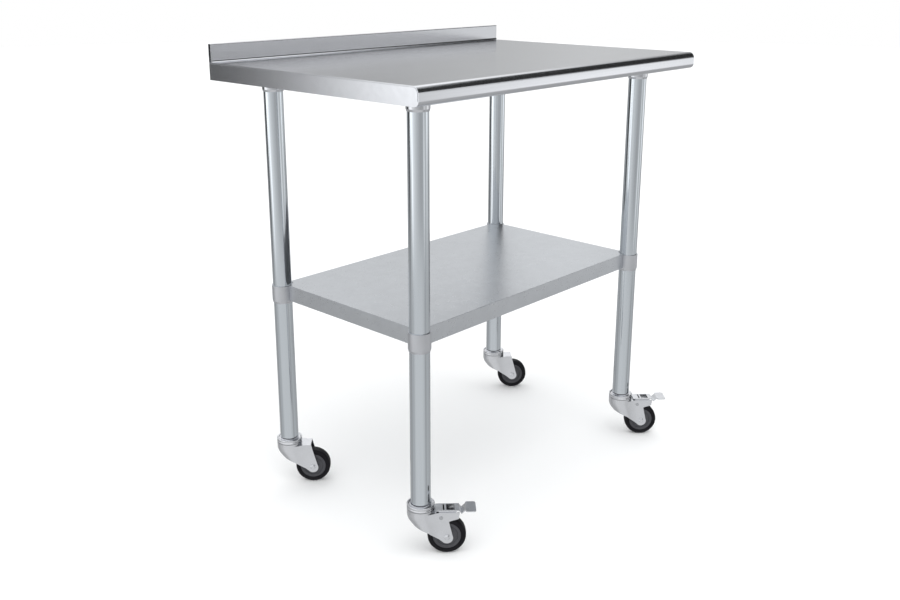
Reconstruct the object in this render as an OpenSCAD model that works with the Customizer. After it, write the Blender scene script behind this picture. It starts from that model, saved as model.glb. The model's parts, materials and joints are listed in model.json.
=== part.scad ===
// Rolling work table: a folded stainless worktop with a splash, four tube legs,
// an undershelf and four swivel casters, the front two with foot brakes.
// +X is to the right, +Y is towards the wall and +Z is up, in millimetres.
// The origin is on the floor, under the middle of the worktop.

/* [Worktop] */
// Width of the worktop, left to right
top_w = 914.4; // [760:0.1:1220]
// Depth of the worktop, front to back
top_d = 609.6; // [560:0.1:760]
// Height of the work surface above the floor
top_z = 968.2; // [860:0.1:1000]
// Thickness of the worktop's sheet
top_t = 1.5; // [1:0.1:2]
// Height of the folded edges round the worktop
edge_h = 36; // [34:1:45]
// Radius where the work surface rolls over the front edge
nose_top_r = 13.5; // [8:0.5:16]
// Radius at the foot of the front edge
nose_foot_r = 10.5; // [6:0.5:14]
// Depth of the fold under the front edge
nose_return = 20; // [18:1:30]

/* [Splash] */
// Height of the splash above the work surface
splash_h = 38.1; // [25:0.1:150]
// Depth of the hollow splash, front face to back face
splash_d = 8; // [7:0.5:20]
// Radius of the cove at the foot of the splash
cove_r = 5; // [2:0.5:10]

/* [Legs] */
// Outside diameter of a leg tube
leg_d = 41.3; // [38:0.1:45]
// Wall thickness of a leg tube
leg_t = 1.2; // [1:0.1:3]
// Distance from the worktop's edges to a leg's axis
leg_inset = 91.7; // [80:0.1:110]
// Height of a leg's lower end above the floor
leg_foot_z = 115; // [115:0.5:118]
// Height of the lower end of a leg socket
socket_foot_z = 909; // [800:1:912]

/* [Undershelf] */
// Height of the shelf's surface above the floor
shelf_z = 485; // [300:1:700]
// Height of the shelf's folded edges
shelf_edge_h = 36; // [30:1:45]
// Thickness of the shelf's sheet
shelf_t = 1.2; // [1:0.1:2]
// Outside diameter of a shelf collar
collar_d = 46; // [45.5:0.1:50]

/* [Casters] */
// Diameter of a wheel
wheel_d = 80; // [78:0.5:80.5]
// Width of a tyre
tyre_w = 24; // [20:0.5:26]
// Horizontal distance from the swivel axis to the axle
trail = 53; // [52:0.5:54]
// Direction in which the casters trail, counter-clockwise from +X
trail_angle = -45; // [-180:1:180]
// Width over a fork's two plates
fork_w = 34; // [33:0.5:35]
// Thickness of a fork's sheet
fork_t = 2.5; // [2:0.1:2.8]
// Radius of the swivel head
head_r = 28.5; // [28:0.1:29]

/* [Hidden] */
// name, side in X, side in Y, braked
CORNERS = [
    ["front_left", -1, -1, true],
    ["front_right", 1, -1, true],
    ["back_left", -1, 1, false],
    ["back_right", 1, 1, false],
];
LEG_PARTS = ["socket", "leg", "shelf_collar"];
CASTER_PARTS = [
    "upper_race", "kingpin", "swivel_balls", "fork",
    "tyre", "wheel_hub", "axle_bushing", "axle_bolt_and_nut",
];
BRAKE_PARTS = ["brake_lever", "brake_pin", "brake_spring"];

$fn = 64;

// Small gap that keeps neighbouring pieces apart
gap = 0.1;
// Radial clearance of a shaft that turns in its bore
running = 0.05;
// Radial clearance of a part that is pressed into place
pressed = 0.02;
// Overrun of a cutting shape past the face that it cuts
cut = 1;
// How far a straight edge runs inside the curve that it meets, so that the two cross cleanly
blend_in = 0.3;
// Fineness of the large turned pieces and of the hulls
ring_fn = 96;
hull_fn = 40;

// Worktop
front_y = -top_d / 2;
back_y = top_d / 2;
edge_z = top_z - edge_h;
splash_top = top_z + splash_h;
splash_face_y = back_y - splash_d;
fold_r = 2;
seam_w = 1.1;
seam_depth = 0.8;
seam_end = 30;
lip_h = 10;

// Stiffening channels, hat-shaped in section
hat_h = 22;
hat_web_w = 56;
hat_foot_w = 16;
hat_t = 1.5;
channel_z = top_z - top_t - hat_h;
channel_end_gap = 2;

// Legs
leg_r = leg_d / 2;
leg_x = top_w / 2 - leg_inset;
leg_y = top_d / 2 - leg_inset;
leg_top_z = channel_z - 4;
socket_r = leg_r + 2.2;
socket_bore_top_z = leg_top_z + 1;
socket_screw_z = socket_foot_z + 16;
taper_h = 5;
taper_rim = 0.8;
socket_plate_w = 76;
socket_plate_t = 2.5;
screw_r = 4;
screw_l = 5;
screw_hex_r = 2.3;
screw_hex_l = 3;
insert_flange_t = 2;
insert_h = 34;
stem_r = 6;
stem_top_z = leg_foot_z + insert_h - 2;

// Undershelf
shelf_lip = 14;
shelf_x = leg_x;
shelf_y = leg_y;
collar_r = collar_d / 2;
collar_top_z = shelf_z - 2;
collar_foot_z = shelf_z - shelf_edge_h - 6;
collar_screw_z = shelf_z - 22;
wing_l = 58;
wing_t = 3;
wing_h = 26;
wing_z = shelf_z - shelf_t - 4 - wing_h;
shelf_hat_h = 18;

// Wheels
wheel_r = wheel_d / 2;
axle_z = wheel_r;
rim_r = 29;
shoulder_r = 5;
hub_w = 28.4;
hub_boss_r = 11;
hub_dish_r = 22;
hub_dish = 3;
hub_rim = 1;
bushing_r = 6;
hub_bore_r = bushing_r + running;
axle_r = 4;
bolt_flange_r = 7;
bolt_flange_h = 1;
bolt_dome_r = 5.5;
bolt_dome_top_r = 4;
bolt_dome_h = 2;
nut_r = 7.5;
nut_h = 6;

// Swivel heads: plates and web, crown floor, ball race
plate_y = fork_w / 2 - fork_t;
plate_z = 96;
web_foot_z = plate_z - fork_t;
crown_z = 96;
ring_z = 101.5;
race_z = 101.6;
seam_z = 102;
cup_z = leg_foot_z - insert_flange_t;
kingpin_r = 9;
kingpin_head_r = 13;
kingpin_head_h = 3.5;
kingpin_head_z = web_foot_z - 0.5;
ball_r = 2.6;
ball_ring_r = 20;
ball_count = 18;
bowl_z = 91;

// Fork plates: u is the distance from the swivel axis towards the axle
taper_u = 36;
fork_end_u = 90;
lobe_r = 12.5;
lobe_drop = 1.5;
lower_edge = [14.8, 53.6];
plain_front_u = 50;
braked_web_u = 34;
ear_top_u = 79;
ear_foot = [77, 82];
notch = [57, 75.5];
notch_r = 2.5;

// Brake pedal
pin_u = 41;
pin_z = 84.5;
pin_r = 2.5;
pin_head_r = 4;
pin_head_h = 1.2;
pin_boss_r = 4.8;
lever_t = 2;
lever_w = 2 * plate_y - 1;
lever_z = 100;
lever_back_u = 31;
lever_front_u = 79;
valley = [83, 93.5];
tread_z = 100.6;
tread_u = 91;
tread_end_u = 112.4;
tread_w = 39;
tread_r = 5;
neck_w = 26;
shoe_u = 69;
shoe_w = 20;
shoe_foot_z = 81;
window_u = 52;
window_w = 22;
slot_u = 45;
slot_l = 3;
spring_w = 16;
spring_t = 0.8;
spring_back_u = 29;
spring_bend_u = 36;
spring_tip_u = 40;

// Point where the tangent from p meets the circle with centre c and radius r.
// side is 1 for the tangent on the left of the line from p to c, and -1 for the right.
function tangent_point(p, c, r, side) =
    let (d = norm(c - p), a = atan2(c[1] - p[1], c[0] - p[0]), b = acos(r / d))
    c - r * [cos(a - side * b), sin(a - side * b)];

module at_leg(c) {
    translate([c[1] * leg_x, c[2] * leg_y, 0]) children();
}

module at_caster(c) {
    at_leg(c) rotate(trail_angle) children();
}

// Extrudes a (Y, Z) outline along X, centred on X = 0
module along_x(length) {
    rotate([90, 0, 90]) linear_extrude(length, center = true) children();
}

// Extrudes a (X, Z) outline along Y, centred on Y = 0
module along_y(length) {
    rotate([90, 0, 0]) linear_extrude(length, center = true) children();
}

// Tube from z0 to z1
module tube(r_out, r_in, z0, z1) {
    translate([0, 0, z0]) difference() {
        cylinder(r = r_out, h = z1 - z0);
        translate([0, 0, -cut]) cylinder(r = r_in, h = z1 - z0 + 2 * cut);
    }
}

// ---- Worktop ----

// Side view of the space inside the folded front edge and top, inset from their outer faces
module edge_outline(inset) {
    top = top_z - inset;
    foot = edge_z + inset;
    front = front_y + inset;
    translate([front_y + nose_top_r, top_z - nose_top_r]) circle(nose_top_r - inset);
    translate([front_y + nose_foot_r, edge_z + nose_foot_r]) circle(nose_foot_r - inset);
    translate([front, edge_z + nose_foot_r]) square([nose_top_r, edge_h - nose_top_r - nose_foot_r]);
    translate([front_y + nose_top_r, foot]) square([back_y - inset - front_y - nose_top_r, top - foot]);
    translate([front_y + nose_foot_r, foot]) square([nose_top_r, nose_foot_r]);
}

// Quarter of a bend in the sheet, from angle a to a + 90
module bend(center, r_in, a) {
    translate(center) intersection() {
        difference() {
            circle(r_in + top_t);
            circle(r_in);
        }
        rotate(a) square(r_in + 2 * top_t);
    }
}

// Section through the folded sheet: front roll, work surface, cove, splash and back
module worktop_section() {
    // front roll and work surface
    difference() {
        edge_outline(0);
        edge_outline(top_t);
        translate([front_y + nose_return, edge_z - cut]) square([top_d, edge_h - top_t - cut]);
        translate([splash_face_y - cove_r, edge_z]) square([cove_r + splash_d + cut, edge_h + cut]);
    }
    // lip turned up behind the front roll
    translate([front_y + nose_return - top_t, edge_z]) square([top_t, lip_h]);
    // cove and front face of the splash
    bend([splash_face_y - cove_r, top_z + cove_r], cove_r, -90);
    translate([splash_face_y, top_z + cove_r])
        square([top_t, splash_h - cove_r - fold_r]);
    // top of the splash
    bend([splash_face_y + fold_r, splash_top - fold_r], fold_r - top_t, 90);
    translate([splash_face_y + fold_r, splash_top - top_t])
        square([splash_d - 2 * fold_r, top_t]);
    bend([back_y - fold_r, splash_top - fold_r], fold_r - top_t, 0);
    // back, down to the foot of the edges, and its lip
    translate([back_y - top_t, edge_z]) square([top_t, splash_top - fold_r - edge_z]);
    translate([back_y - nose_return, edge_z]) square([nose_return, top_t]);
}

// Folded side edge, with the seam between it and the rolled front and top
module side_edge() {
    translate([top_w / 2 - top_t, 0, 0]) rotate([90, 0, 90]) difference() {
        linear_extrude(top_t) edge_outline(0);
        translate([0, 0, top_t - seam_depth]) linear_extrude(seam_depth + cut) difference() {
            edge_outline(top_t);
            edge_outline(top_t + seam_w);
            translate([front_y, edge_z - cut]) square([top_d, nose_foot_r + cut]);
            translate([back_y - seam_end, edge_z]) square([seam_end, edge_h - 2 * top_t]);
        }
    }
    // return along the foot of the edge
    translate([top_w / 2 - lip_h - top_t, front_y + nose_return, edge_z])
        cube([lip_h + top_t, top_d - 2 * nose_return, top_t]);
}

module worktop() {
    color([0.76, 0.77, 0.79]) {
        along_x(top_w - 2 * top_t) worktop_section();
        side_edge();
        mirror([1, 0, 0]) side_edge();
        // the splash runs on to the outer faces of the side edges
        for (s = [-1, 1])
            translate([s * (top_w - top_t) / 2, 0, 0]) along_x(top_t) intersection() {
                worktop_section();
                translate([splash_face_y - cove_r, top_z - top_t])
                    square([splash_d + cove_r, splash_h + top_t]);
            }
    }
}

// Hat section, open side up, with the feet at z = 0
module hat_section(h, web_w, foot_w, t) {
    for (s = [-1, 1]) {
        translate([s * (web_w + foot_w) / 2, -t / 2]) square([foot_w, t], center = true);
        translate([s * (web_w - t) / 2, -h / 2]) square([t, h], center = true);
    }
    translate([0, t / 2 - h]) square([web_w, t], center = true);
}

module centre_channel() {
    length = 2 * (leg_x - hat_web_w / 2 - hat_foot_w - channel_end_gap);
    color([0.68, 0.70, 0.72]) translate([0, 0, top_z - top_t])
        along_x(length) hat_section(hat_h, hat_web_w, hat_foot_w, hat_t);
}

module cross_channel(side) {
    length = top_d - 2 * (nose_return + channel_end_gap);
    color([0.68, 0.70, 0.72]) translate([side * leg_x, 0, top_z - top_t])
        along_y(length) hat_section(hat_h, hat_web_w, hat_foot_w, hat_t);
}

// ---- Legs ----

// Angle from a leg's axis to the middle of the table
function inward(c) = atan2(-c[2], -c[1]);

// Cylinder along +X at height z
module radial_hole(r, z, from_r, to_r) {
    translate([from_r, 0, z]) rotate([0, 90, 0]) cylinder(r = r, h = to_r - from_r);
}

module socket(c) {
    bore_r = leg_r + gap;
    color([0.72, 0.74, 0.77]) at_leg(c) difference() {
        union() {
            translate([0, 0, socket_foot_z + taper_h])
                cylinder(r = socket_r, h = channel_z - socket_foot_z - taper_h);
            translate([0, 0, socket_foot_z])
                cylinder(r1 = leg_r + taper_rim, r2 = socket_r, h = taper_h);
            translate([0, 0, channel_z - socket_plate_t / 2])
                cube([hat_web_w, socket_plate_w, socket_plate_t], center = true);
        }
        translate([0, 0, socket_foot_z - cut])
            cylinder(r = bore_r, h = socket_bore_top_z + cut - socket_foot_z);
        rotate(inward(c)) radial_hole(screw_r + gap, socket_screw_z, 0, socket_r + cut);
    }
}

// Hexagon-socket set screw that points along +X, its tip at tip_r
module set_screw(tip_r, z) {
    difference() {
        radial_hole(screw_r, z, tip_r, tip_r + screw_l);
        translate([tip_r + screw_l - screw_hex_l, 0, z]) rotate([0, 90, 0])
            cylinder(r = screw_hex_r, h = screw_hex_l + cut, $fn = 6);
    }
}

module socket_screws() {
    color([0.35, 0.36, 0.38]) for (c = CORNERS)
        at_leg(c) rotate(inward(c)) set_screw(leg_r + running, socket_screw_z);
}

module leg(c) {
    color([0.72, 0.76, 0.80]) at_leg(c) tube(leg_r, leg_r - leg_t, leg_foot_z, leg_top_z);
}

module leg_inserts() {
    color([0.30, 0.31, 0.33]) for (c = CORNERS) at_leg(c) difference() {
        union() {
            translate([0, 0, leg_foot_z]) cylinder(r = leg_r - leg_t - pressed, h = insert_h);
            translate([0, 0, leg_foot_z - insert_flange_t]) cylinder(r = leg_r, h = insert_flange_t);
        }
        translate([0, 0, leg_foot_z - insert_flange_t - cut])
            cylinder(r = stem_r + pressed, h = insert_h + insert_flange_t + 2 * cut);
    }
}

// ---- Undershelf ----

module undershelf() {
    w = 2 * shelf_x;
    d = 2 * shelf_y;
    foot = shelf_z - shelf_edge_h;
    color([0.66, 0.68, 0.70]) difference() {
        translate([-w / 2, -d / 2, foot]) cube([w, d, shelf_edge_h]);
        translate([-w / 2 + shelf_t, -d / 2 + shelf_t, foot + shelf_t])
            cube([w - 2 * shelf_t, d - 2 * shelf_t, shelf_edge_h - 2 * shelf_t]);
        translate([-w / 2 + shelf_lip, -d / 2 + shelf_lip, foot - cut])
            cube([w - 2 * shelf_lip, d - 2 * shelf_lip, shelf_edge_h / 2]);
        for (c = CORNERS)
            at_leg(c) translate([0, 0, foot - cut])
                cylinder(r = collar_r + gap, h = shelf_edge_h + 2 * cut);
    }
}

module shelf_channel() {
    length = 2 * (shelf_x - shelf_lip - channel_end_gap);
    color([0.60, 0.62, 0.64]) translate([0, 0, shelf_z - shelf_t])
        along_x(length) hat_section(shelf_hat_h, hat_web_w, hat_foot_w, hat_t);
}

// Cast collar round a leg, with two wings fixed inside the shelf's edges
module shelf_collar(c) {
    color([0.72, 0.73, 0.75]) at_leg(c) difference() {
        union() {
            translate([0, 0, collar_foot_z + taper_h])
                cylinder(r = collar_r, h = collar_top_z - collar_foot_z - taper_h);
            translate([0, 0, collar_foot_z])
                cylinder(r1 = leg_r + taper_rim, r2 = collar_r, h = taper_h);
            mirror([c[1] > 0 ? 1 : 0, 0, 0]) mirror([0, c[2] > 0 ? 1 : 0, 0]) {
                translate([shelf_t, leg_r, wing_z]) cube([wing_t, wing_l - leg_r, wing_h]);
                translate([leg_r, shelf_t, wing_z]) cube([wing_l - leg_r, wing_t, wing_h]);
            }
        }
        translate([0, 0, collar_foot_z - cut])
            cylinder(r = leg_r + gap, h = collar_top_z - collar_foot_z + 2 * cut);
        rotate(inward(c)) radial_hole(screw_r + gap, collar_screw_z, 0, collar_r + cut);
    }
}

module collar_screws() {
    color([0.35, 0.36, 0.38]) for (c = CORNERS)
        at_leg(c) rotate(inward(c)) set_screw(leg_r + running, collar_screw_z);
}

// ---- Caster swivel ----

// Pressed cup that the leg stands in, with the upper ball track under it
module upper_race(c) {
    color([0.78, 0.79, 0.81]) at_leg(c) rotate_extrude($fn = ring_fn) polygon([
        [stem_r + gap, race_z],
        [head_r - 3, race_z],
        [head_r - 3, seam_z],
        [head_r - 0.6, seam_z],
        [head_r, seam_z + 0.6],
        [head_r, seam_z + 3],
        [head_r - 0.9, seam_z + 4],
        [head_r - 0.9, cup_z - 5],
        [head_r, cup_z - 4],
        [head_r, cup_z - 2.3],
        [head_r - 0.8, cup_z - 1.5],
        [head_r - 2, cup_z - 1.5],
        [leg_r + 2.5, cup_z - 4],
        [leg_r + 0.3, cup_z - 4],
        [leg_r + 0.3, cup_z],
        [stem_r + gap, cup_z],
    ]);
}

module kingpin(c) {
    color([0.70, 0.71, 0.73]) at_leg(c) {
        translate([0, 0, race_z]) cylinder(r = stem_r, h = stem_top_z - race_z);
        translate([0, 0, kingpin_head_z]) cylinder(r = kingpin_r, h = race_z - kingpin_head_z);
        translate([0, 0, kingpin_head_z - kingpin_head_h])
            cylinder(r = kingpin_head_r, h = kingpin_head_h);
    }
}

module swivel_balls(c) {
    color([0.60, 0.61, 0.63]) at_leg(c) for (i = [0:ball_count - 1])
        rotate(i * 360 / ball_count)
            translate([ball_ring_r, 0, crown_z + ball_r + running]) sphere(r = ball_r);
}

// ---- Fork ----

// Side view of a fork, whose lower edge runs on from the back of its bowl
module fork_side(braked) {
    lobe = [trail, axle_z - lobe_drop];
    front_top = [braked ? ear_top_u : plain_front_u, plate_z];
    front = braked ? notch : front_top;
    bowl_back = tangent_point(lower_edge, [0, bowl_z], head_r - blend_in, 1);
    slope = (lower_edge[1] - bowl_back[1]) / (lower_edge[0] - bowl_back[0]);
    back_u = -head_r - cut;
    back_foot = [back_u, lower_edge[1] + slope * (back_u - lower_edge[0])];
    foot_back = tangent_point(lower_edge, lobe, lobe_r - blend_in, -1);
    foot_front = tangent_point(front, lobe, lobe_r - blend_in, 1);
    ear = braked ? [notch, notch + [notch_r, notch_r / 2], ear_foot] : [];
    translate(lobe) circle(lobe_r);
    polygon(concat(
        [[back_u, plate_z], back_foot, lower_edge, foot_back, lobe, foot_front],
        ear,
        [front_top]
    ));
}

// Round head whose sides run flat into the two plates, shrunk by inset
module fork_body(inset) {
    w = fork_w - 2 * inset;
    hull() {
        translate([0, 0, bowl_z]) sphere(r = head_r - inset, $fn = hull_fn);
        translate([taper_u, -w / 2, 0]) cube([cut, w, ring_z]);
    }
    translate([taper_u + cut / 2, -w / 2, 0]) cube([fork_end_u - taper_u, w, ring_z]);
}

module fork(c) {
    braked = c[3];
    web_u = braked ? braked_web_u : plain_front_u;
    color([0.74, 0.75, 0.77]) at_caster(c) difference() {
        union() {
            translate([0, 0, web_foot_z]) cylinder(r = head_r, h = ring_z - web_foot_z, $fn = ring_fn);
            intersection() {
                along_y(2 * head_r + 2) fork_side(braked);
                fork_body(0);
            }
        }
        // inside, up to the web, and right through in front of the web
        intersection() {
            fork_body(fork_t);
            union() {
                translate([-head_r, -head_r, -cut])
                    cube([head_r + fork_end_u + cut, 2 * head_r, web_foot_z + cut]);
                translate([web_u, -head_r, -cut])
                    cube([fork_end_u + cut - web_u, 2 * head_r, ring_z + 2 * cut]);
            }
        }
        translate([0, 0, crown_z]) cylinder(r = head_r - fork_t, h = ring_z, $fn = ring_fn);
        // kingpin bore
        translate([0, 0, web_foot_z - cut]) cylinder(r = kingpin_r + running, h = ring_z);
        // axle and brake pin holes
        translate([trail, 0, axle_z]) rotate([90, 0, 0])
            cylinder(r = axle_r + running, h = fork_w + 2 * cut, center = true);
        if (braked) translate([pin_u, 0, pin_z]) rotate([90, 0, 0])
            cylinder(r = pin_r + pressed, h = fork_w + 2 * cut, center = true);
    }
}

// ---- Wheel ----

// Turns a (radius, width) outline round the axle
module about_axle() {
    translate([trail, 0, axle_z]) rotate([90, 0, 0]) rotate_extrude($fn = ring_fn) children();
}

module tyre(c) {
    s = shoulder_r;
    color([0.12, 0.12, 0.13]) at_caster(c) about_axle() {
        translate([rim_r, -tyre_w / 2]) square([wheel_r - s - rim_r, tyre_w]);
        translate([wheel_r - s - cut, -tyre_w / 2 + s]) square([s + cut, tyre_w - 2 * s]);
        for (side = [-1, 1]) translate([wheel_r - s, side * (tyre_w / 2 - s)]) circle(s);
    }
}

module wheel_hub(c) {
    dish_t = tyre_w / 2 - hub_dish;
    rim_t = tyre_w / 2 - hub_rim;
    color([0.33, 0.33, 0.34]) at_caster(c) about_axle() polygon([
        [hub_bore_r, -hub_w / 2],
        [hub_boss_r, -hub_w / 2],
        [hub_boss_r + 1, -dish_t],
        [hub_dish_r, -dish_t],
        [hub_dish_r + 1, -rim_t],
        [rim_r, -rim_t],
        [rim_r, rim_t],
        [hub_dish_r + 1, rim_t],
        [hub_dish_r, dish_t],
        [hub_boss_r + 1, dish_t],
        [hub_boss_r, hub_w / 2],
        [hub_bore_r, hub_w / 2],
    ]);
}

module axle_bushing(c) {
    color([0.65, 0.66, 0.68]) at_caster(c) translate([trail, 0, axle_z]) rotate([90, 0, 0])
        tube(bushing_r, axle_r + pressed, -plate_y, plate_y);
}

// Flanged round-head bolt from the outer side, with a locking nut on the other end
module axle_bolt_and_nut(c) {
    plate = fork_w / 2;
    end = plate + nut_h + 1;
    color([0.72, 0.73, 0.75]) at_caster(c) translate([trail, 0, axle_z]) rotate([90, 0, 0]) {
        translate([0, 0, -end]) cylinder(r = axle_r, h = end + plate);
        translate([0, 0, plate]) cylinder(r = bolt_flange_r, h = bolt_flange_h);
        translate([0, 0, plate + bolt_flange_h])
            cylinder(r1 = bolt_dome_r, r2 = bolt_dome_top_r, h = bolt_dome_h);
        translate([0, 0, -plate - nut_h]) difference() {
            cylinder(r = nut_r, h = nut_h, $fn = 6);
            translate([0, 0, -cut]) cylinder(r = axle_r + pressed, h = nut_h + 2 * cut);
        }
    }
}

// ---- Brake ----

// Side view of the pedal: web over the wheel, sloping neck and tread plate
module pedal_side() {
    polygon([
        [lever_back_u, lever_z],
        [lever_front_u - 1, lever_z],
        valley,
        [tread_u, tread_z],
        [tread_end_u, tread_z],
        [tread_end_u, tread_z - lever_t],
        [tread_u + 0.8, tread_z - lever_t],
        valley - [0, lever_t + 0.9],
        [lever_front_u - 2, lever_z - lever_t],
        [lever_back_u, lever_z - lever_t],
    ]);
}

// Plan of the pedal: web, neck and a tread plate with rounded corners
module pedal_plan() {
    tread_l = tread_end_u - tread_u;
    translate([lever_back_u, -lever_w / 2]) square([lever_front_u - lever_back_u, lever_w]);
    translate([lever_front_u - 1, -neck_w / 2]) square([tread_u - lever_front_u + 2, neck_w]);
    translate([tread_u + tread_r, -tread_w / 2]) square([tread_l - 2 * tread_r, tread_w]);
    translate([tread_u, tread_r - tread_w / 2]) square([tread_l, tread_w - 2 * tread_r]);
    for (u = [tread_u + tread_r, tread_end_u - tread_r])
        for (s = [-1, 1])
            translate([u, s * (tread_w / 2 - tread_r)]) circle(tread_r);
}

// Ear of the pedal round the pivot pin
module pedal_ear() {
    under = lever_z - lever_t;
    translate([pin_u, pin_z]) circle(pin_boss_r);
    polygon([
        [pin_u - pin_boss_r, under],
        [pin_u - pin_boss_r, pin_z],
        [pin_u + pin_boss_r, pin_z],
        [62, 90],
        [75, under],
        [75, under + lever_t / 2],
        [pin_u - pin_boss_r, under + lever_t / 2],
    ]);
}

module brake_lever(c) {
    color([0.76, 0.77, 0.79]) at_caster(c) difference() {
        union() {
            intersection() {
                along_y(tread_w + 2 * cut) pedal_side();
                translate([0, 0, pin_z]) linear_extrude(lever_z) pedal_plan();
            }
            for (s = [-1, 1])
                translate([0, s * (lever_w - lever_t) / 2, 0]) along_y(lever_t) pedal_ear();
            // shoe over the tyre
            translate([shoe_u, -shoe_w / 2, shoe_foot_z])
                cube([lever_t, shoe_w, lever_z - lever_t / 2 - shoe_foot_z]);
        }
        // window and slot in the web
        for (hole = [[window_u, shoe_u - window_u], [slot_u, slot_l]])
            translate([hole[0], -window_w / 2, lever_z - lever_t - cut])
                cube([hole[1], window_w, lever_t + 2 * cut]);
        translate([pin_u, 0, pin_z]) rotate([90, 0, 0])
            cylinder(r = pin_r + running, h = fork_w, center = true);
    }
}

module brake_pin(c) {
    color([0.70, 0.71, 0.73]) at_caster(c) translate([pin_u, 0, pin_z]) rotate([90, 0, 0]) {
        cylinder(r = pin_r, h = fork_w + pin_head_h, center = true);
        for (s = [-1, 1])
            translate([0, 0, s * (fork_w + pin_head_h) / 2])
                cylinder(r = pin_head_r, h = pin_head_h, center = true);
    }
}

// Leaf spring on the fork's web, its tip turned up towards the pedal
module brake_spring(c) {
    color([0.66, 0.67, 0.69]) at_caster(c) along_y(spring_w) polygon([
        [spring_back_u, plate_z],
        [spring_bend_u, plate_z],
        [spring_tip_u, plate_z + spring_t],
        [spring_tip_u, plate_z + 2 * spring_t],
        [spring_bend_u, plate_z + spring_t],
        [spring_back_u, plate_z + spring_t],
    ]);
}

// ---- Assembly ----

worktop();
centre_channel();
cross_channel(-1);  // left_cross_channel
cross_channel(1);  // right_cross_channel
socket_screws();
undershelf();
shelf_channel();
collar_screws();
leg_inserts();
for (c = CORNERS) {
    socket(c);
    leg(c);
    shelf_collar(c);
    upper_race(c);
    kingpin(c);
    swivel_balls(c);
    fork(c);
    tyre(c);
    wheel_hub(c);
    axle_bushing(c);
    axle_bolt_and_nut(c);
    if (c[3]) brake_lever(c);
    if (c[3]) brake_pin(c);
    if (c[3]) brake_spring(c);
}
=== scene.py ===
import json
import math

import bmesh
import bpy
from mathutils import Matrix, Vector


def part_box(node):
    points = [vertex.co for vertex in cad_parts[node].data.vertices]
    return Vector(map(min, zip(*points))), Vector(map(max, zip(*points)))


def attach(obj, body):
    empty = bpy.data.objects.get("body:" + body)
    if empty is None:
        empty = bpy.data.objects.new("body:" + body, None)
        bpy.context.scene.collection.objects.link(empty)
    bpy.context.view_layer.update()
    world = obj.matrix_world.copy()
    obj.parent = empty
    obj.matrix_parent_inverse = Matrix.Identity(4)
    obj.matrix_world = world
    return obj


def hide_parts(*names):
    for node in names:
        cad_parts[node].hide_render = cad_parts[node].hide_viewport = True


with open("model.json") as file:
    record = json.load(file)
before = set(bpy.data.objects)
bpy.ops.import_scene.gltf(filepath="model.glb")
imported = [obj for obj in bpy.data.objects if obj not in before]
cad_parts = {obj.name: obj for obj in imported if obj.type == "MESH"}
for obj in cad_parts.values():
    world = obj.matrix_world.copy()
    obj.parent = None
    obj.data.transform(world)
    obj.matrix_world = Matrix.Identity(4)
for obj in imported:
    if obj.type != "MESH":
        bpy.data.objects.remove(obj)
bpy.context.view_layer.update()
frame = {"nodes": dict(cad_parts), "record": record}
nodes = frame["nodes"]
record = frame["record"]
slot_of = {s["node"]: s["material_slot"] for s in record["subparts"]}
body_of = {n: b for b, group in record["behaviour"]["bodies"].items() for n in group}
scene = bpy.context.scene
CORNERS = ("front_left", "front_right", "back_left", "back_right")


# ---------------------------------------------------------------- camera

CAM_PLACE = (-1.621, -1.452, 1.161)
CAM_YAW = 46.83        # clockwise from +Y, degrees
CAM_PITCH = 16.03      # below the horizon, degrees
CAM_LENS = 38.99
CAM_SENSOR = 36        # width, in millimetres as the lens is
CAM_SHIFT = (0.0082, -0.06)


def make_camera():
    yaw, pitch = math.radians(CAM_YAW), math.radians(CAM_PITCH)
    ahead = Vector((math.sin(yaw) * math.cos(pitch), math.cos(yaw) * math.cos(pitch), -math.sin(pitch)))
    data = bpy.data.cameras.new("camera")
    data.lens = CAM_LENS
    data.sensor_width = CAM_SENSOR
    data.shift_x, data.shift_y = CAM_SHIFT
    cam = bpy.data.objects.new("camera", data)
    scene.collection.objects.link(cam)
    cam.location = CAM_PLACE
    cam.rotation_euler = ahead.to_track_quat("-Z", "Y").to_euler()
    scene.camera = cam


# ---------------------------------------------------------------- node helpers

NOISE_LOW, NOISE_HIGH = 0.3, 0.7       # the values that a noise mostly lies between


def put(tree, kind, **values):
    """A new node; names of sockets and of properties are given alike, with _ for a space."""
    made = tree.nodes.new(kind)
    for key, value in values.items():
        name = key.replace("_", " ")
        socket = next((s for s in made.inputs if s.name.lower() == name.lower()), None)
        if hasattr(made, key) and socket is None:
            setattr(made, key, value)
        elif isinstance(value, bpy.types.NodeSocket):
            tree.links.new(value, socket)
        else:
            socket.default_value = value
    return made


def math_node(tree, operation, *values):
    made = tree.nodes.new("ShaderNodeMath")
    made.operation = operation
    for socket, value in zip(made.inputs, values):
        if isinstance(value, bpy.types.NodeSocket):
            tree.links.new(value, socket)
        else:
            socket.default_value = value
    return made.outputs[0]


def smooth(tree, value, low, high, to_low=0.0, to_high=1.0):
    made = tree.nodes.new("ShaderNodeMapRange")
    made.interpolation_type = "SMOOTHSTEP"
    tree.links.new(value, made.inputs["Value"])
    for name, number in (("From Min", low), ("From Max", high), ("To Min", to_low), ("To Max", to_high)):
        made.inputs[name].default_value = number
    return made.outputs[0]


def ramp(tree, value, stops):
    made = tree.nodes.new("ShaderNodeValToRGB")
    elements = made.color_ramp.elements
    while len(elements) > 1:
        elements.remove(elements[-1])
    for i, (place, colour) in enumerate(stops):
        element = elements[0] if i == 0 else elements.new(place)
        element.position = place
        element.color = (*colour, 1)
    tree.links.new(value, made.inputs[0])
    return made.outputs[0]


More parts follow.
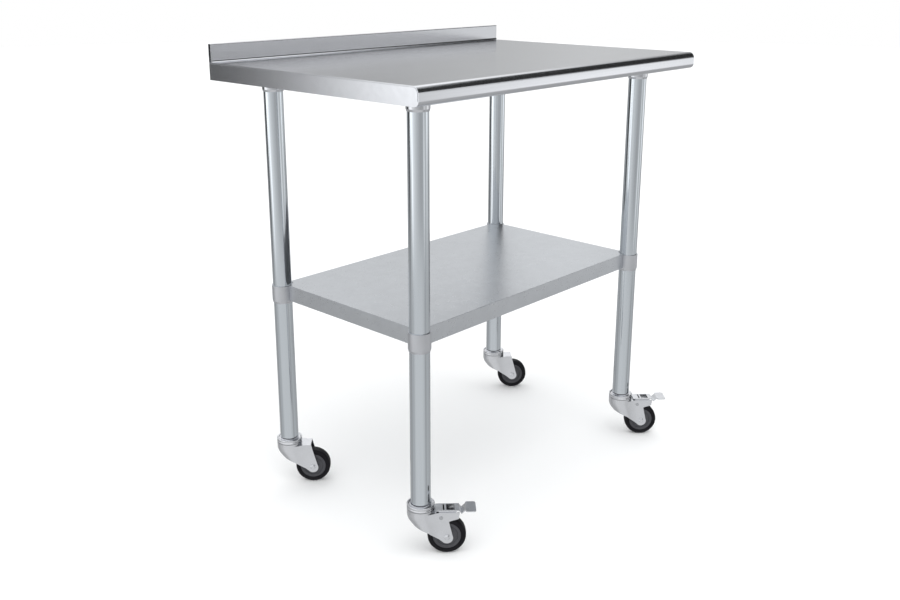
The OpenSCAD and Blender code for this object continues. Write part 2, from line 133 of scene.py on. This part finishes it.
def mix(tree, factor, a, b, blend="MIX"):
    made = tree.nodes.new("ShaderNodeMix")
    made.data_type = "RGBA"
    made.blend_type = blend
    for socket, value in zip((made.inputs[0], made.inputs[6], made.inputs[7]), (factor, a, b)):
        if isinstance(value, bpy.types.NodeSocket):
            tree.links.new(value, socket)
        else:
            socket.default_value = value
    return made.outputs[2]


def stretched_noise(tree, scale, detail=3.0, roughness=0.55, offset=0.0):
    """Noise in the object's metres, with its own scale along each axis."""
    place = put(tree, "ShaderNodeTexCoord")
    mapping = put(tree, "ShaderNodeMapping", Scale=scale, Location=(offset,) * 3)
    tree.links.new(place.outputs["Object"], mapping.inputs["Vector"])
    noise = put(tree, "ShaderNodeTexNoise", Scale=1.0, Detail=detail, Roughness=roughness)
    tree.links.new(mapping.outputs[0], noise.inputs["Vector"])
    return noise.outputs["Fac"]


def spread(tree, value, centre, amount):
    """centre, give or take amount as the noise goes from its low to its high."""
    return smooth(tree, value, NOISE_LOW, NOISE_HIGH, centre - amount, centre + amount)


def bump(tree, height, strength, distance, normal=None):
    made = put(tree, "ShaderNodeBump", Strength=strength, Distance=distance, Height=height)
    if normal is not None:
        tree.links.new(normal, made.inputs["Normal"])
    return made.outputs[0]


def new_material(name):
    material = bpy.data.materials.new(name)
    material.use_nodes = True
    return material, material.node_tree, material.node_tree.nodes["Principled BSDF"]


# ---------------------------------------------------------------- materials

WORN_RADIUS = 0.0012       # width of the rubbed edges, in metres
WORN_STRENGTH = 0.35
RUBBED = 1.08              # how much brighter the metal is where it is rubbed
SPANGLE_SCALE = 85.0       # zinc crystals to a metre


def metal(name, colour, rough, rough_change, grain, grain_height, tone_change=0.05,
          spangle=0.0, pits=0.0, waves=0.0):
    """Bare metal: streaks along its grain, slow changes of tone, handling marks, and worn edges."""
    material, tree, shader = new_material(name)
    streaks = stretched_noise(tree, grain, 4.0, 0.6)
    broad = stretched_noise(tree, tuple(g * 0.09 + 1.5 for g in grain), 3.0, 0.5, 3.1)
    marks = stretched_noise(tree, (9.0, 9.0, 9.0), 5.0, 0.65, 7.7)
    dark = tuple(c * (1 - tone_change) for c in colour)
    light = tuple(min(1, c * (1 + tone_change)) for c in colour)
    tone = ramp(tree, spread(tree, broad, 0.5, 0.5), ((0.0, dark), (1.0, light)))
    fine = smooth(tree, streaks, NOISE_LOW, NOISE_HIGH, 1 - tone_change * 0.7, 1.0)
    tone = mix(tree, 1.0, tone, fine, "MULTIPLY")
    roughness = math_node(
        tree, "ADD",
        spread(tree, streaks, rough, rough_change),
        smooth(tree, marks, 0.52, 0.75, 0.0, rough_change * 0.7),
    )
    if spangle:
        place = put(tree, "ShaderNodeTexCoord")
        cells = put(tree, "ShaderNodeTexVoronoi", Scale=SPANGLE_SCALE, Randomness=1.0)
        tree.links.new(place.outputs["Object"], cells.inputs["Vector"])
        grey = put(tree, "ShaderNodeSeparateColor")
        tree.links.new(cells.outputs["Color"], grey.inputs[0])
        tone = mix(tree, 1.0, tone, smooth(tree, grey.outputs[0], 0.0, 1.0, 1 - spangle, 1.0), "MULTIPLY")
        change = smooth(tree, grey.outputs[1], 0.0, 1.0, -spangle * 0.4, spangle * 0.4)
        roughness = math_node(tree, "ADD", roughness, change)
    # edges are rubbed brighter
    edge = put(tree, "ShaderNodeBevel", Radius=WORN_RADIUS)
    edge.samples = 4
    flat = put(tree, "ShaderNodeNewGeometry")
    facing = tree.nodes.new("ShaderNodeVectorMath")
    facing.operation = "DOT_PRODUCT"
    tree.links.new(edge.outputs[0], facing.inputs[0])
    tree.links.new(flat.outputs["Normal"], facing.inputs[1])
    worn = smooth(tree, facing.outputs["Value"], 0.70, 0.97, 1.0, 0.0)
    rubbed = tuple(min(1, c * RUBBED) for c in colour)
    tone = mix(tree, math_node(tree, "MULTIPLY", worn, WORN_STRENGTH), tone, (*rubbed, 1))
    tree.links.new(tone, shader.inputs["Base Color"])
    tree.links.new(roughness, shader.inputs["Roughness"])
    normal = bump(tree, streaks, 0.35, grain_height)
    if pits:
        normal = bump(tree, stretched_noise(tree, (900.0,) * 3, 4.0, 0.6, 1.3), 0.4, pits, normal)
    if waves:
        normal = bump(tree, stretched_noise(tree, (3.2, 3.2, 3.2), 1.0, 0.4, 5.2), 0.5, waves, normal)
    tree.links.new(normal, shader.inputs["Normal"])
    shader.inputs["Metallic"].default_value = 1.0
    return material


def plastic(name, colour, rough, speckle, grain_height, specular=0.5, dust=0.0):
    """Rubber or moulded plastic: fine moulded grain, faint flow marks, a little dust."""
    material, tree, shader = new_material(name)
    fine = stretched_noise(tree, (1400.0,) * 3, 3.0, 0.6)
    flow = stretched_noise(tree, (45.0, 45.0, 45.0), 4.0, 0.6, 2.2)
    dark = tuple(c * (1 - speckle) for c in colour)
    light = tuple(c * (1 + speckle) for c in colour)
    tone = ramp(tree, spread(tree, flow, 0.5, 0.5), ((0.0, dark), (1.0, light)))
    if dust:
        tone = mix(tree, smooth(tree, flow, 0.5, 0.8, 0.0, dust), tone, (0.30, 0.29, 0.28, 1))
    tree.links.new(tone, shader.inputs["Base Color"])
    tree.links.new(
        math_node(tree, "ADD", spread(tree, fine, rough, 0.05), smooth(tree, flow, 0.4, 0.7, 0.0, 0.08)),
        shader.inputs["Roughness"],
    )
    tree.links.new(bump(tree, fine, 0.5, grain_height), shader.inputs["Normal"])
    shader.inputs["Specular IOR Level"].default_value = specular
    return material


ALONG_X = (5.0, 900.0, 900.0)
ALONG_Z = (700.0, 700.0, 4.0)
EVEN = (260.0, 260.0, 260.0)

MATERIALS = {
    "stainless": metal(
        "satin_stainless", (0.68, 0.69, 0.72), 0.18, 0.02, ALONG_X, 0.000006, 0.018, waves=0.00012),
    "galvanised": metal(
        "galvanised_sheet", (0.64, 0.66, 0.69), 0.30, 0.025, EVEN, 0.000004, 0.015,
        spangle=0.025, waves=0.00012),
    "leg_tube": metal("galvanised_tube", (0.68, 0.72, 0.76), 0.12, 0.02, ALONG_Z, 0.000004, 0.02),
    "cast_aluminium": metal(
        "cast_aluminium", (0.66, 0.67, 0.70), 0.42, 0.04, EVEN, 0.00001, 0.03, pits=0.00003),
    "zinc_plate": metal("zinc_plate", (0.78, 0.79, 0.82), 0.24, 0.03, EVEN, 0.000004, 0.025),
    "steel": metal("plain_steel", (0.56, 0.57, 0.59), 0.22, 0.05, EVEN, 0.00001, 0.04),
    "tyre": plastic("tyre_rubber", (0.006, 0.0055, 0.008), 0.45, 0.20, 0.00004, 0.18, 0.02),
    "hub_plastic": plastic("hub_plastic", (0.062, 0.062, 0.070), 0.42, 0.08, 0.00003, 0.4),
    "black_plastic": plastic("black_plastic", (0.035, 0.035, 0.04), 0.40, 0.12, 0.00003, 0.5),
    "dark_screws": metal("black_oxide", (0.09, 0.09, 0.10), 0.38, 0.06, EVEN, 0.00001, 0.08),
}


def dress(obj, slot):
    obj.data.materials.clear()
    obj.data.materials.append(MATERIALS[slot])


# ---------------------------------------------------------------- pieces

MM = 0.001
WELD_GAP = 1e-6            # points this close are one, in metres
SLIVER = 1e-7              # edges too short to keep, in metres
COPLANAR = 0.3             # degrees between faces that are one flat
ROUND_ANGLE = 38           # degrees from which an edge is rounded
CREASE_ANGLE = 32          # degrees from which shading is sharp
WHEEL_CREASE_ANGLE = 34
ROUND_STEPS = 2
FLAT_WEIGHT = 80
WHEEL_STEPS = 128
ARC_POINTS = 7


def stand_in(obj, node):
    """obj is shown in place of a CAD node, on the same body and with the same finish."""
    dress(obj, slot_of[node])
    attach(obj, body_of[node])
    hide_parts(node)


def add_mesh(name, bm):
    mesh = bpy.data.meshes.new(name)
    bm.to_mesh(mesh)
    bm.free()
    obj = bpy.data.objects.new(name, mesh)
    scene.collection.objects.link(obj)
    return obj


def keep_flats_flat(obj, sharp_angle):
    """Smooth shading in which the large flat faces stay flat and only the small rounds between them curve."""
    obj.data.shade_smooth()
    obj.data.set_sharp_from_angle(angle=math.radians(sharp_angle))
    weighted = obj.modifiers.new("flats", "WEIGHTED_NORMAL")
    weighted.mode = "FACE_AREA"
    weighted.weight = FLAT_WEIGHT
    weighted.keep_sharp = True
    bpy.context.view_layer.objects.active = obj
    bpy.ops.object.modifier_apply(modifier=weighted.name)


def rounded(node, width):
    """The CAD node's shape with every folded, pressed or cut edge rounded, as real sheet and castings are."""
    bm = bmesh.new()
    bm.from_mesh(nodes[node].data)
    bmesh.ops.remove_doubles(bm, verts=bm.verts, dist=WELD_GAP)
    bmesh.ops.dissolve_degenerate(bm, edges=bm.edges, dist=SLIVER)
    bmesh.ops.dissolve_limit(bm, angle_limit=math.radians(COPLANAR), verts=bm.verts, edges=bm.edges)
    obj = add_mesh(node + "_rounded", bm)
    bevel = obj.modifiers.new("edges", "BEVEL")
    bevel.width = width
    bevel.segments = ROUND_STEPS
    bevel.limit_method = "ANGLE"
    bevel.angle_limit = math.radians(ROUND_ANGLE)
    bevel.use_clamp_overlap = True
    bevel.harden_normals = False
    bpy.context.view_layer.objects.active = obj
    bpy.ops.object.modifier_apply(modifier=bevel.name)
    keep_flats_flat(obj, CREASE_ANGLE)
    stand_in(obj, node)


WHEEL_AXIS = Vector((math.sqrt(0.5), math.sqrt(0.5), 0))
WHEEL_ACROSS = Vector((math.sqrt(0.5), -math.sqrt(0.5), 0))
UP = Vector((0, 0, 1))


def turned(name, centre, profile):
    """Solid of revolution round the axle from a closed outline of (radius, distance along the axle) in mm."""
    bm = bmesh.new()
    rings = []
    for i in range(WHEEL_STEPS):
        a = 2 * math.pi * i / WHEEL_STEPS
        out = WHEEL_ACROSS * math.cos(a) + UP * math.sin(a)
        rings.append([bm.verts.new(centre + (out * r + WHEEL_AXIS * t) * MM) for r, t in profile])
    for i in range(WHEEL_STEPS):
        here, there = rings[i], rings[(i + 1) % WHEEL_STEPS]
        for j in range(len(profile)):
            k = (j + 1) % len(profile)
            bm.faces.new((here[j], here[k], there[k], there[j]))
    bmesh.ops.recalc_face_normals(bm, faces=bm.faces)
    obj = add_mesh(name, bm)
    obj.data.shade_smooth()
    obj.data.set_sharp_from_angle(angle=math.radians(WHEEL_CREASE_ANGLE))
    return obj


def arc(r, t, radius, start, end):
    """Points of an arc, with angles in degrees from the outward radius towards +t."""
    angles = [math.radians(start + (end - start) * i / (ARC_POINTS - 1)) for i in range(ARC_POINTS)]
    return [(r + radius * math.cos(a), t + radius * math.sin(a)) for a in angles]


def both_sides(half):
    """Closed outline from its +t half, listed from the outside in."""
    return [(r, -t) for r, t in reversed(half)] + half


def node_centre(node):
    low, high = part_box(node)
    return (Vector(low) + Vector(high)) / 2


def make_wheel(corner):
    """The moulded tyre and hub of one caster, from outlines in millimetres out from the axle and along it."""
    tyre_node, hub_node = corner + "_tyre", corner + "_wheel_hub"
    centre = node_centre(tyre_node)
    tread = [(39.96, 0.25), (39.78, 0.9), (39.72, 3.0), (39.5, 5.6)]
    shoulder = arc(34.6, 7.1, 4.9, 2, 88)
    wall = [(33.2, 12.0), (32.9, 11.7), (32.3, 11.7), (32.0, 12.0), (30.2, 11.9), (29.3, 11.5), (29.02, 10.8)]
    tyre = turned(corner + "_tyre_moulded", centre, both_sides(tread + shoulder + wall))
    stand_in(tyre, tyre_node)
    rim = [(29.0, 10.4), (28.4, 11.0), (26.0, 11.0), (25.7, 10.6), (25.2, 10.6), (24.9, 11.0), (23.4, 11.0)]
    dish = [(22.6, 10.4), (21.6, 8.9), (20.4, 8.6), (13.6, 8.6), (12.4, 9.2)]
    boss = [(11.6, 12.6), (11.2, 13.8), (10.6, 14.2), (6.9, 14.2), (6.3, 13.7), (6.08, 13.2)]
    hub = turned(corner + "_hub_moulded", centre, both_sides(rim + dish + boss))
    stand_in(hub, hub_node)


def rounding():
    """Edge radius of each node that is shown with rounded edges, in metres."""
    widths = {
        "worktop": 0.0004, "undershelf": 0.0011,
        "centre_channel": 0.0006, "left_cross_channel": 0.0006, "right_cross_channel": 0.0006,
        "shelf_channel": 0.0006,
    }
    parts = {
        "socket": 0.0006, "shelf_collar": 0.0009, "upper_race": 0.0004, "fork": 0.0007,
        "axle_bolt_and_nut": 0.0004, "brake_lever": 0.0005, "brake_pin": 0.0003,
    }
    for corner in CORNERS:
        for part, width in parts.items():
            if corner + "_" + part in nodes:
                widths[corner + "_" + part] = width
    return widths


# ---------------------------------------------------------------- light and floor

FILL = 1.22                        # brightness that lights the matt surfaces and the floor
SKY_TINT = (0.985, 0.995, 1.0, 1)
BACKDROP = (1, 1, 1, 1)            # what the camera sees past the floor

OVERHEAD_PLACE = (-0.4, -0.8, 3.4)
OVERHEAD_TARGET = (0, 0, 0.4)
OVERHEAD_SIZE = (2.6, 2.6)
OVERHEAD_POWER = 26

FLOOR_RADIUS = 14.0
FLOOR_SIDES = 96
FLOOR_DARK = (0.955, 0.955, 0.955)
FLOOR_LIGHT = (0.975, 0.975, 0.975)


def turn(degrees):
    """An angle counter-clockwise from +X, in degrees, as 0 to 1 round the studio."""
    return ((degrees + 180) % 360) / 360


def round_studio(tree, azimuth, stops):
    """Brightness round the studio from (degrees, brightness) stops."""
    points = sorted((turn(d), v) for d, v in stops)
    first, last = points[0], points[-1]
    gap = first[0] + 1 - last[0]
    seam = last[1] + (first[1] - last[1]) * (1 - last[0]) / gap
    points = [(0.0, seam)] + points + [(1.0, seam)]
    top = max(v for _, v in points)
    level = ramp(tree, azimuth, [(p, (v / top,) * 3) for p, v in points])
    grey = put(tree, "ShaderNodeSeparateColor")
    tree.links.new(level, grey.inputs[0])
    return math_node(tree, "MULTIPLY", grey.outputs[0], top)


def blend_values(tree, factor, a, b):
    made = tree.nodes.new("ShaderNodeMix")
    made.data_type = "FLOAT"
    tree.links.new(factor, made.inputs[0])
    for socket, value in ((made.inputs[2], a), (made.inputs[3], b)):
        if isinstance(value, bpy.types.NodeSocket):
            tree.links.new(value, socket)
        else:
            socket.default_value = value
    return made.outputs[0]


# Brightness all round the studio at each height: (degrees above the horizon, ((azimuth, brightness), ...)).
# Azimuths run counter-clockwise from +X, and the camera stands at about -138.
STUDIO = (
    (-19, (
        (-172, 0.72), (-110, 0.72), (-84, 0.62), (-70, 0.42), (-52, 0.56), (-10, 0.46),
        (96, 0.50), (116, 0.38), (126, 0.42), (136, 0.54), (155, 0.52), (174, 0.70))),
    (-12, (
        (-174, 0.84), (-160, 0.72), (-134, 0.57), (-112, 0.45), (-86, 0.50), (-74, 1.20), (-64, 0.54),
        (-45, 0.75), (-35, 0.95), (-18, 0.42), (96, 0.42), (108, 0.14), (124, 0.10), (134, 0.50),
        (146, 0.75), (155, 1.50), (164, 1.50), (172, 1.00))),
    (-8, (
        (-174, 0.84), (-160, 0.72), (-134, 0.57), (-112, 0.45), (-86, 0.50), (-74, 0.95), (-64, 0.54),
        (-56, 0.64), (-50, 0.66), (-45, 0.82), (-41, 1.15), (-36, 1.50), (-31, 1.28), (-18, 0.60),
        (96, 0.30), (108, 0.06), (124, 0.03), (127, 0.14), (129, 0.44), (131, 0.90), (133, 1.40),
        (136, 1.75), (150, 1.60), (172, 1.00))),
    (-1, (
        (-174, 0.75), (-134, 0.55), (-92, 0.45), (-70, 0.65), (-56, 0.75), (-44, 0.85), (-38, 0.62),
        (-32, 1.20), (-10, 0.60), (30, 0.60), (56, 0.40), (108, 0.06), (124, 0.03), (127, 0.14),
        (129, 0.44), (133, 1.40), (136, 1.75), (150, 1.50))),
    (5, (
        (-174, 0.70), (-134, 0.60), (-92, 0.60), (-70, 0.85), (-56, 1.00), (-48, 1.00), (-42, 1.00),
        (-36, 0.30), (-28, 0.20), (-5, 0.12), (22, 0.70), (33, 0.64), (39, 0.50), (46, 0.40),
        (56, 0.30), (108, 0.10), (124, 0.10), (134, 1.20), (160, 1.10))),
    (10, (
        (-174, 0.80), (-134, 0.70), (-92, 0.40), (-75, 0.10), (-60, 0.03), (16, 0.03), (27, 0.40),
        (35, 0.66), (46, 0.44), (60, 0.42), (112, 0.40), (130, 0.90), (160, 0.95))),
    (20, (
        (-174, 0.90), (-134, 0.80), (-92, 0.40), (-75, 0.02), (18, 0.02), (27, 0.60), (35, 1.05),
        (46, 0.86), (60, 0.90), (112, 0.60), (130, 0.72), (160, 0.80))),
    (42, (
        (-174, 0.90), (-134, 0.90), (-92, 0.50), (-75, 0.03), (4, 0.03), (20, 1.50), (60, 1.20),
        (112, 0.80), (130, 0.85), (160, 0.85))),
    (50, ((-90, 1.40), (90, 1.40))),
    (64, ((-90, 0.78), (90, 0.78))),
)


def make_world():
    """A plain studio: softboxes to the left, to the right and overhead, darker between them."""
    world = bpy.data.worlds.new("studio")
    scene.world = world
    world.use_nodes = True
    tree = world.node_tree
    background = tree.nodes["Background"]
    place = put(tree, "ShaderNodeTexCoord")
    split = put(tree, "ShaderNodeSeparateXYZ")
    tree.links.new(place.outputs["Generated"], split.inputs[0])
    x, y, z = split.outputs
    bearing = math_node(tree, "ARCTAN2", y, x)
    azimuth = math_node(tree, "ADD", math_node(tree, "DIVIDE", bearing, 2 * math.pi), 0.5)
    height, stops = STUDIO[0]
    value = round_studio(tree, azimuth, stops)
    for next_height, stops in STUDIO[1:]:
        low, high = math.sin(math.radians(height)), math.sin(math.radians(next_height))
        value = blend_values(tree, smooth(tree, z, low, high), value, round_studio(tree, azimuth, stops))
        height = next_height
    path = put(tree, "ShaderNodeLightPath")
    value = blend_values(tree, path.outputs["Is Glossy Ray"], FILL, value)
    cool = mix(tree, 1.0, value, SKY_TINT, "MULTIPLY")
    seen = mix(tree, path.outputs["Is Camera Ray"], cool, BACKDROP)
    tree.links.new(seen, background.inputs["Color"])


def area_light(name, place, target, size, power):
    data = bpy.data.lights.new(name, "AREA")
    data.shape = "RECTANGLE"
    data.size, data.size_y = size
    data.energy = power
    obj = bpy.data.objects.new(name, data)
    scene.collection.objects.link(obj)
    obj.location = place
    obj.rotation_euler = (Vector(target) - Vector(place)).to_track_quat("-Z", "Y").to_euler()
    obj.visible_glossy = False


def make_floor():
    bm = bmesh.new()
    bmesh.ops.create_circle(bm, cap_ends=True, segments=FLOOR_SIDES, radius=FLOOR_RADIUS)
    floor = add_mesh("floor", bm)
    material, tree, shader = new_material("pale_floor")
    clouds = stretched_noise(tree, (2.0, 2.0, 2.0), 2.0)
    tone = ramp(tree, clouds, ((0.0, FLOOR_DARK), (1.0, FLOOR_LIGHT)))
    tree.links.new(tone, shader.inputs["Base Color"])
    shader.inputs["Roughness"].default_value = 0.9
    shader.inputs["Specular IOR Level"].default_value = 0.1
    floor.data.materials.append(material)
    floor.visible_glossy = False


make_camera()
make_world()
area_light("overhead", OVERHEAD_PLACE, OVERHEAD_TARGET, OVERHEAD_SIZE, OVERHEAD_POWER)
make_floor()

for name, obj in nodes.items():
    dress(obj, slot_of[name])
for name, width in rounding().items():
    rounded(name, width)
for corner in CORNERS:
    make_wheel(corner)

scene.view_settings.view_transform = "Standard"
